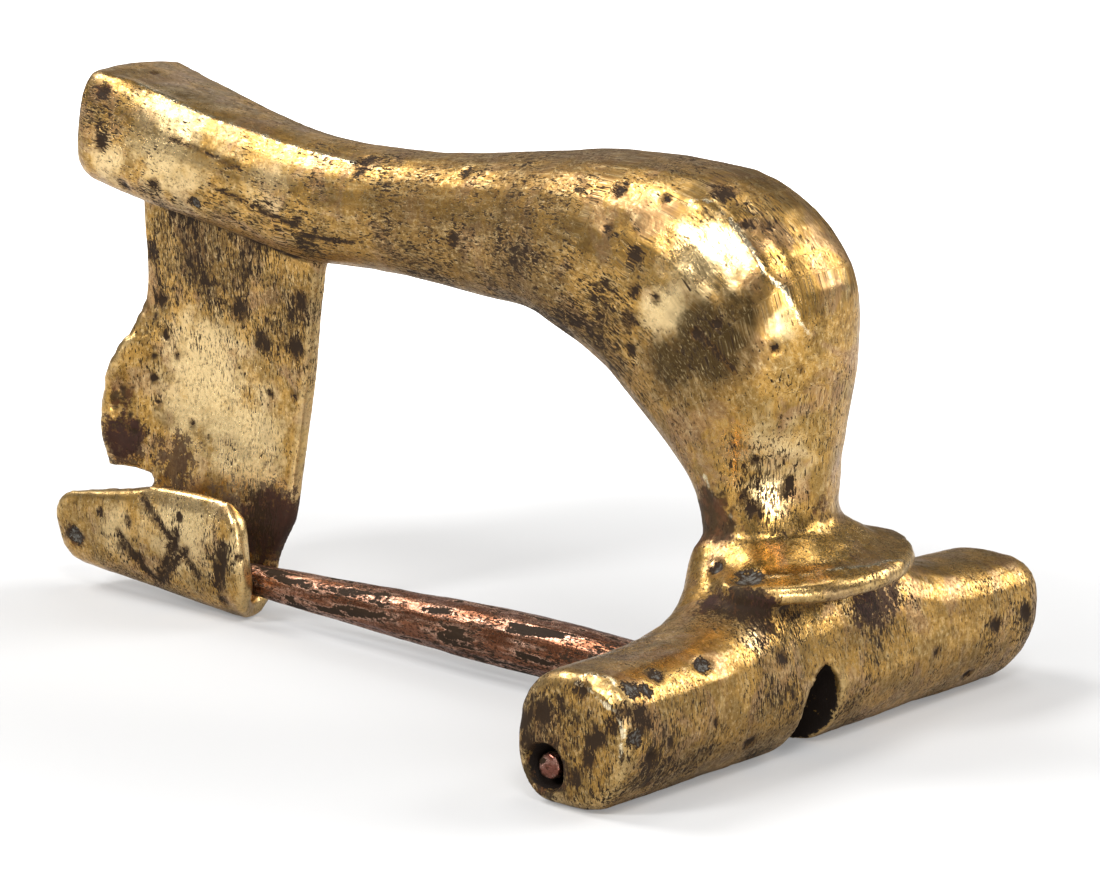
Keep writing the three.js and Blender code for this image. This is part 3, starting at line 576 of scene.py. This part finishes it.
# Black: painted shade inside the slot and the bore.
HOLE_SHADE_BLACK = (0.012, 0.008, 0.006, 1)
# Pale cream: worn arris lines, partly a painted highlight.
WORN_EDGE_AND_HIGHLIGHT = (0.97, 0.84, 0.56, 1)
OXIDE = (0.035, 0.016, 0.013, 1)
GREY_FILL = (0.13, 0.125, 0.11, 1)


def make_bronze():
    material = bpy.data.materials.new("worn golden bronze")
    material.use_nodes = True
    w = Wiring(material.node_tree)
    shader = material.node_tree.nodes["Principled BSDF"]
    place = w.scaled(w.node("ShaderNodeTexCoord").outputs["Object"], (1000.0, 1000.0, 1000.0))
    grain_way = w.kept("grain", vector=True)
    wide = w.kept("wide_hollow")
    small = w.kept("small_hollow")
    cloud = w.math("SUBTRACT", w.noise(place, 1.0, 4.0, 0.65), 0.5)
    crumbs = w.math("SUBTRACT", w.noise(place, 2.4, 4.0, 0.65), 0.5)
    tooth = w.placed(fine_tooth, Grain=grain_way, Place=place, Brushed=0.3)

    density = w.math("ADD", w.math("MULTIPLY", w.kept("flecked"), 0.7), 0.44)
    density = w.math("ADD", density, w.math("MULTIPLY", wide, 0.5))
    density = w.math("ADD", density, w.ramp(w.kept("pit_edge"), -1.0, 0.6, 0.0, 0.45))
    density = w.math("SUBTRACT", density, w.math("MULTIPLY", w.kept("polished"), 0.03))
    density = w.math("SUBTRACT", density, w.math("MULTIPLY", w.kept("pale"), 0.06))
    flecks = w.placed(corrosion_flecks, Grain=grain_way, Density=density, Length=3.6)
    pit_core = w.math("SUBTRACT", w.kept("pit_edge"), 0.5)
    pits = w.placed(ragged_spot, Edge=pit_core, Place=place, Ragged=2.2)["Spot"]
    fill_rim = w.math("ADD", w.kept("fill_edge"), 0.15)
    rim = w.placed(ragged_spot, Edge=fill_rim, Place=place, Ragged=1.6)["Spot"]
    fill_core = w.math("SUBTRACT", w.kept("fill_edge"), 0.25)
    fill = w.placed(ragged_spot, Edge=fill_core, Place=place, Ragged=2.0)["Spot"]
    stain = w.placed(ragged_spot, Edge=w.kept("stain_edge"), Place=place, Ragged=3.0)["Spot"]
    inside = w.placed(ragged_spot, Edge=w.kept("inside_edge"), Place=place, Ragged=0.8)["Spot"]

    warmth = w.ramp(w.noise(place, 0.8, 4.0, 0.6), 0.42, 0.6)
    rosy = w.ramp(w.noise(place, 0.5, 4.0, 0.6, 0.5), 0.5, 0.62)
    colour = w.mix(warmth, GOLD, OLIVE)
    colour = w.mix(w.math("MULTIPLY", rosy, 0.6), colour, ROSE)
    # Tarnish darkens the colour; on the knee this darkening is a painted dark reflection.
    tarnish_and_reflection_share = w.ramp(w.math("ADD", w.kept("tarnish_and_reflection"), cloud), 0.1, 1.0)
    colour = w.mix(w.math("MULTIPLY", tarnish_and_reflection_share, 0.9), colour, UMBER)
    streaks = w.noise(w.scaled(grain_way, (0.2, 1.0, 1.0)), 3.2, 4.0, 0.65)
    colour = w.mix(w.ramp(streaks, 0.52, 0.66, 0.0, 0.22), colour, PALE_GOLD)
    colour = w.mix(w.ramp(streaks, 0.46, 0.34, 0.0, 0.35), colour, BROWN)
    # Pale cream where worn bare, and painted highlights and reflections in the pale zones.
    pale = w.ramp(w.math("ADD", w.kept("pale"), w.math("MULTIPLY", cloud, 1.3)), 0.25, 0.8)
    crown = w.ramp(w.math("SUBTRACT", w.math("MULTIPLY", cloud, 0.2), wide), 0.12, 0.34)
    pale = w.math("MAXIMUM", pale, w.math("MULTIPLY", crown, 0.5))
    colour = w.mix(w.math("MULTIPLY", pale, 0.8), colour, PALE_GOLD)
    smooth = w.ramp(w.kept("polished"), 0.2, 0.9, 1.0, 0.25)
    light_specks = w.ramp(tooth["Speckle"], 0.52, 0.66, 0.0, 0.4)
    colour = w.mix(w.math("MULTIPLY", light_specks, smooth), colour, PALE_GOLD)
    dark_specks = w.ramp(tooth["Speckle"], 0.48, 0.36, 0.0, 0.6)
    colour = w.mix(w.math("MULTIPLY", dark_specks, smooth), colour, BROWN)
    ragged = w.math("MULTIPLY", w.math("ADD", cloud, crumbs), 0.6)
    # Deepest where the zones pass about 1: smoky tarnish, and the painted dark reflection on the knee.
    deep_tarnish_and_reflection = w.ramp(w.math("ADD", w.kept("tarnish_and_reflection"), ragged), 0.8, 1.1)
    colour = w.mix(w.math("MULTIPLY", deep_tarnish_and_reflection, 0.88), colour, SMOKY_TARNISH_AND_REFLECTION)
    scratches = w.ramp(w.noise(w.scaled(grain_way, (0.25, 1.4, 1.0)), 15.0, 3.0, 0.6, 0.8), 0.56, 0.68)
    colour = w.mix(w.math("MULTIPLY", scratches, w.math("MULTIPLY", deep_tarnish_and_reflection, 0.4)), colour, PALE_GOLD)
    # Thin pale lines along the arrises: worn metal, partly a painted highlight.
    line = w.ramp(w.math("ADD", w.kept("arris_edge"), crumbs), 0.74, 0.88)
    colour = w.mix(w.math("MULTIPLY", line, 0.75), colour, WORN_EDGE_AND_HIGHLIGHT)
    halo = w.ramp(w.math("ADD", w.kept("pit_edge"), crumbs), -0.75, 0.15)
    colour = w.mix(w.math("MULTIPLY", halo, 0.6), colour, BROWN)
    # Darker in wide hollows and in the grime zones: partly dirt, partly painted shade where shade falls in
    # creases and under things.
    grime_and_shade_share = w.ramp(w.math("ADD", wide, w.math("MULTIPLY", crumbs, 0.35)), 0.16, 0.42, 0.0, 0.8)
    zoned_grime_and_shade = w.ramp(w.math("ADD", w.kept("grime_and_shade"), w.math("MULTIPLY", crumbs, 1.6)), 0.35, 0.7, 0.0, 0.93)
    grime_and_shade_share = w.math("MAXIMUM", grime_and_shade_share, zoned_grime_and_shade)
    grime_and_shade_colour = w.mix(w.ramp(w.noise(place, 1.7, 3.0, 0.6), 0.42, 0.6), DARK_DIRT_AND_SHADE, RUST_AND_SHADE)
    colour = w.mix(grime_and_shade_share, colour, grime_and_shade_colour)
    colour = w.mix(w.math("MULTIPLY", stain, 0.85), colour, OXIDE)
    dark = w.math("MAXIMUM", flecks["Flecks"], w.math("MAXIMUM", pits, rim))
    dark = w.math("MAXIMUM", dark, w.ramp(small, 0.02, 0.05))
    colour = w.mix(dark, colour, DARK_DIRT_AND_SHADE)
    colour = w.mix(w.math("MULTIPLY", fill, w.ramp(tooth["Speckle"], 0.4, 0.62)), colour, GREY_FILL)
    # Painted shade: black inside the slot and the bore.
    colour = w.mix(inside, colour, HOLE_SHADE_BLACK)
    w.feed(shader, "Base Color", colour)

    dull = w.math("MAXIMUM", dark, w.math("MULTIPLY", w.math("MAXIMUM", stain, grime_and_shade_share), 0.8))
    dull = w.math("MAXIMUM", dull, inside)
    shine = w.ramp(tooth["Speckle"], 0.35, 0.65, 0.42, 0.29)
    shine = w.math("ADD", shine, w.math("MULTIPLY", tarnish_and_reflection_share, 0.12))
    shine = w.math("SUBTRACT", shine, w.math("MULTIPLY", w.kept("polished"), 0.14))
    shine = w.math("SUBTRACT", shine, w.math("MULTIPLY", line, 0.08))
    w.feed(shader, "Roughness", w.blend(dull, shine, 0.62))
    w.feed(shader, "Metallic", w.blend(dull, 1.0, 0.0))
    shader.inputs["Specular IOR Level"].default_value = 0.12
    height = w.math("SUBTRACT", tooth["Height"], w.math("MULTIPLY", dark, 1.2))
    bump = w.node("ShaderNodeBump", None, Strength=0.5, Distance=0.04 * MM, Height=height)
    w.feed(shader, "Normal", bump.outputs[0])
    return material


casting.data.materials.append(make_bronze())
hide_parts("bow_casting")
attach(casting, "brooch")


# The hinge rod: a thin bar of reddish copper driven through the crossbar, which the pin turns on.
# Its ends were cut off and hammered a little, and lie just inside the worn holes of the end faces.
ROD_GRAIN = 0.112 * MM
ROD_RED = (0.22, 0.085, 0.06, 1)
ROD_PALE = (0.42, 0.24, 0.19, 1)

rod_lo, rod_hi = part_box("hinge_rod")
rod_middle = (rod_lo + rod_hi) / 2
bpy.ops.object.select_all(action="DESELECT")
bpy.ops.mesh.primitive_cylinder_add(vertices=40, radius=(rod_hi.x - rod_lo.x) / 2, depth=rod_hi.y - rod_lo.y,
                                    location=rod_middle, rotation=(math.pi / 2, 0, 0))
rod = bpy.context.object
rod.name = "brooch_hinge_rod"
bpy.ops.object.transform_apply(location=True, rotation=True, scale=True)
bpy.ops.object.mode_set(mode="EDIT")
bpy.ops.mesh.select_all(action="DESELECT")
bpy.ops.object.mode_set(mode="OBJECT")
for face in rod.data.polygons:
    face.select = abs(face.normal.y) > 0.9
bpy.ops.object.mode_set(mode="EDIT")
bpy.ops.mesh.select_mode(type="FACE")
bpy.ops.mesh.inset(thickness=0.16 * MM, depth=0)
bpy.ops.mesh.inset(thickness=0.2 * MM, depth=-0.05 * MM)
bpy.ops.mesh.select_all(action="SELECT")
bpy.ops.object.mode_set(mode="OBJECT")
even_skin(rod, ROD_GRAIN, 2)
rod_skin, rod_normals, rod_edges = points_and_normals(rod)
rod_sink = 0.05 + 0.05 * waves(rod_skin, 0.5, 11) + 0.03 * waves(rod_skin, 0.2, 12)
set_points(rod, keep_inside(rod_skin - rod_normals * np.clip(rod_sink, 0, 1)[:, None], rod_lo, rod_hi))


def make_copper(name, red, pale, black_share, length):
    """Coppery metal with black streaks left along it."""
    material = bpy.data.materials.new(name)
    material.use_nodes = True
    w = Wiring(material.node_tree)
    shader = material.node_tree.nodes["Principled BSDF"]
    place = w.scaled(w.node("ShaderNodeTexCoord").outputs["Object"], (1000.0, 1000.0, 1000.0))
    tooth = w.placed(fine_tooth, Grain=place, Place=place, Brushed=0.8)
    lengthwise = w.scaled(place, (1.0 / length, 1.0, 1.0))
    flecks = w.placed(corrosion_flecks, Grain=place, Density=black_share, Length=3.0)["Flecks"]
    scale_skin = w.math("ADD", w.noise(lengthwise, 1.9, 2.0, 0.5),
                        w.math("MULTIPLY", w.math("SUBTRACT", w.noise(place, 3.0, 4.0, 0.7), 0.5), 0.35))
    black = w.math("MAXIMUM", flecks, w.ramp(scale_skin, 0.62 - 0.1 * black_share, 0.66 - 0.1 * black_share))
    bare = w.ramp(w.noise(lengthwise, 1.9, 3.0, 0.6), 0.42, 0.62)
    colour = w.mix(bare, red, pale)
    colour = w.mix(w.ramp(tooth["Speckle"], 0.5, 0.38, 0.0, 0.8), colour, RUST_AND_SHADE)
    colour = w.mix(black, colour, DARK_DIRT_AND_SHADE)
    w.feed(shader, "Base Color", colour)
    w.feed(shader, "Roughness", w.blend(black, w.ramp(tooth["Speckle"], 0.35, 0.65, 0.38, 0.24), 0.6))
    w.feed(shader, "Metallic", w.blend(black, 1.0, 0.0))
    shader.inputs["Specular IOR Level"].default_value = 0.12
    height = w.math("SUBTRACT", tooth["Height"], w.math("MULTIPLY", black, 1.4))
    bump = w.node("ShaderNodeBump", None, Strength=0.6, Distance=0.035 * MM, Height=height)
    w.feed(shader, "Normal", bump.outputs[0])
    return material


rod.data.materials.append(make_copper("hammered copper", ROD_RED, ROD_PALE, 0.3, 1.0))
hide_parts("hinge_rod")
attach(rod, "brooch")


# The pin: a bar of coppery metal, hammered round and drawn out to a point, with an eye at its thick end.
# Its eye turns on the rod in the crossbar's slot, and its point rests in the rolled edge of the catch.
PIN_GRAIN = 0.11 * MM
PIN_RED = (0.24, 0.095, 0.048, 1)
PIN_PALE = (0.66, 0.39, 0.27, 1)

pin = bare_copy("pin", "brooch_pin")
even_skin(pin, PIN_GRAIN, 8)
pin_skin, pin_normals, pin_edges = points_and_normals(pin)
pin_sink = 0.03 + 0.04 * waves(pin_skin / np.array([3.0, 1.0, 1.0]), 0.7, 21)
pin_sink += 0.02 * waves(pin_skin / np.array([4.0, 1.0, 1.0]), 0.25, 22)
set_points(pin, keep_inside(pin_skin - pin_normals * np.clip(pin_sink, 0, 1)[:, None], *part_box("pin")))
pin.data.materials.append(make_copper("coppery pin metal", PIN_RED, PIN_PALE, 0.7, 7.0))
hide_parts("pin")
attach(pin, "pin")


# The floor: a flat sheet of white paper, which isn't part of the brooch.
# It glows white for the camera away from the brooch, as the photo's cut-out ground does.
FLOOR_SIZE = 1.2
FLOOR_DROP = 0.02 * MM
GLOW_NEAR, GLOW_FAR = 0.025, 0.08
TONE_NEAR, TONE_FAR = 0.02, 0.07

bpy.ops.object.select_all(action="DESELECT")
bpy.ops.mesh.primitive_plane_add(size=FLOOR_SIZE, location=(0, 0, -FLOOR_DROP))
floor = bpy.context.object
floor.name = "pale_floor"
paper = bpy.data.materials.new("pale paper")
paper.use_nodes = True
paper_shader = paper.node_tree.nodes["Principled BSDF"]
paper_shader.inputs["Roughness"].default_value = 0.9
paper_shader.inputs["Emission Color"].default_value = (1, 1, 1, 1)
paper_wires = Wiring(paper.node_tree)
seen = paper_wires.node("ShaderNodeLightPath").outputs["Is Camera Ray"]
away = paper_wires.node("ShaderNodeVectorMath", {"operation": "LENGTH"},
                        in0=paper_wires.node("ShaderNodeTexCoord").outputs["Object"]).outputs["Value"]
glow = paper_wires.ramp(away, GLOW_NEAR, GLOW_FAR, 0.22, 1.0)
# The paper is darker grey near the brooch than away from it: painted shade round the brooch, which also
# darkens the undersides that mirror it.
tone = paper_wires.ramp(away, TONE_NEAR, TONE_FAR, 0.45, 0.7)
grey = paper_wires.node("ShaderNodeCombineColor", None, Red=tone, Green=tone, Blue=tone)
paper_wires.feed(paper_shader, "Base Color", grey.outputs[0])
paper_wires.feed(paper_shader, "Emission Strength", paper_wires.math("MULTIPLY", seen, glow))
floor.data.materials.append(paper)


# The camera stands where the photographer stood, a little above the brooch and off its near end.
# Its place and turn are those that the casting's marks were found from.
camera_data = bpy.data.cameras.new("camera")
camera_data.lens = CAMERA_LENS
camera_data.sensor_width = SENSOR_WIDTH
camera_data.clip_start = 0.01
camera = bpy.data.objects.new("camera", camera_data)
bpy.context.scene.collection.objects.link(camera)
camera.location = camera_place
camera.rotation_euler = camera_turn.to_euler()
bpy.context.scene.camera = camera


# Soft studio light: panels to the left, in front, by the camera, overhead and behind, and a dim surround.
# They stand about where the photo's highlights mirror them. The camera sees white behind the brooch.
LIT_HEIGHT = 12 * MM  # of the middle of the brooch, which the panels look at


def soft_panel(name, azimuth, elevation, distance, width, height, power):
    """A flat lamp that looks at the brooch from an azimuth and an elevation, in degrees."""
    a, e = math.radians(azimuth), math.radians(elevation)
    away = Vector((math.sin(a) * math.cos(e), -math.cos(a) * math.cos(e), math.sin(e)))
    lamp = bpy.data.lights.new(name, "AREA")
    lamp.shape = "RECTANGLE"
    lamp.size, lamp.size_y = width, height
    lamp.energy = power
    made = bpy.data.objects.new(name, lamp)
    bpy.context.scene.collection.objects.link(made)
    made.location = Vector((0, 0, LIT_HEIGHT)) + away * distance
    made.rotation_euler = (-away).to_track_quat("-Z", "Y").to_euler()
    made.visible_camera = False
    return made


soft_panel("left panel", -70, 50, 0.45, 0.18, 0.18, 1.35)
soft_panel("front panel", -10, 34, 0.42, 0.09, 0.10, 1.1)
soft_panel("camera panel", 48, 44, 0.42, 0.10, 0.08, 0.6)
soft_panel("low camera panel", 52, 5, 0.42, 0.10, 0.07, 0.5)
soft_panel("right strip", 70, 8, 0.40, 0.03, 0.10, 0.12)
soft_panel("back right panel", 142, 32, 0.45, 0.26, 0.28, 1.5)
soft_panel("overhead panel", 185, 74, 0.5, 0.2, 0.2, 0.5)
soft_panel("back left panel", 226, 24, 0.45, 0.2, 0.12, 0.05)

world = bpy.data.worlds.new("studio")
bpy.context.scene.world = world
world.use_nodes = True
world_wires = Wiring(world.node_tree)
backdrop = world.node_tree.nodes["Background"]
seen = world_wires.node("ShaderNodeLightPath").outputs["Is Camera Ray"]
world_wires.feed(backdrop, "Color", world_wires.mix(seen, (0.13, 0.125, 0.12, 1), (1, 1, 1, 1)))
bpy.context.scene.view_settings.view_transform = "Standard"
